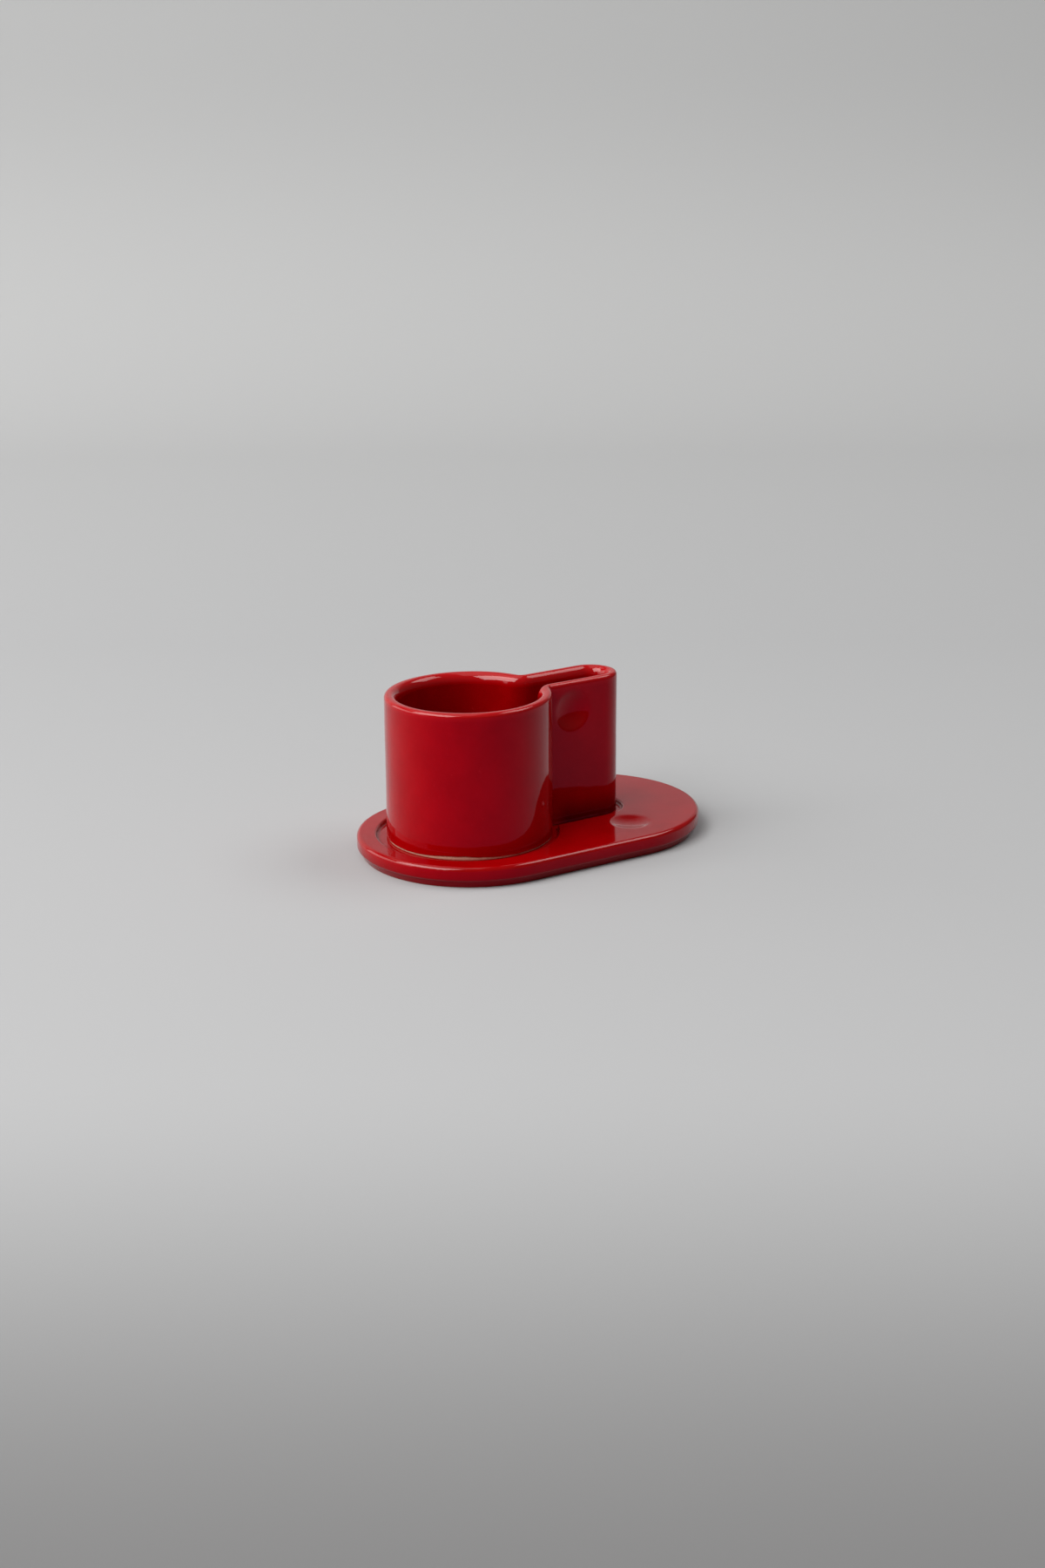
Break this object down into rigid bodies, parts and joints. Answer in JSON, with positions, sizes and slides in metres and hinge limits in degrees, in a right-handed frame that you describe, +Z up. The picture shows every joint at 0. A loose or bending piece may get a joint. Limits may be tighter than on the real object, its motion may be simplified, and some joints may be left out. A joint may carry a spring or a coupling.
{
  "type": "espresso cup and saucer",
  "caption": "Glazed ceramic espresso cup with a hollow fin handle whose slot opens off the bowl, standing in the sunk seat of a pill-shaped saucer.",
  "frame": {"origin": "middle of the saucer's underside, on the surface that the saucer stands on", "axes": "+X along the saucer, from the cup's bowl towards the end of its handle; +Z up; -Y is the near side, with the two thumb dimples"},
  "size_m": [0.134, 0.084, 0.0598],
  "materials": {
    "cup_glaze": "gloss",
    "saucer_glaze": "gloss"
  },
  "bodies": {
    "saucer": {"saucer": "saucer_glaze"},
    "cup": {"cup": "cup_glaze"}
  },
  "joints": [
    {"name": "cup_lift", "type": "slide", "parent": "saucer", "child": "cup", "axis": [0, 0, 1], "range_m": [0, 0.08]}
  ]
}
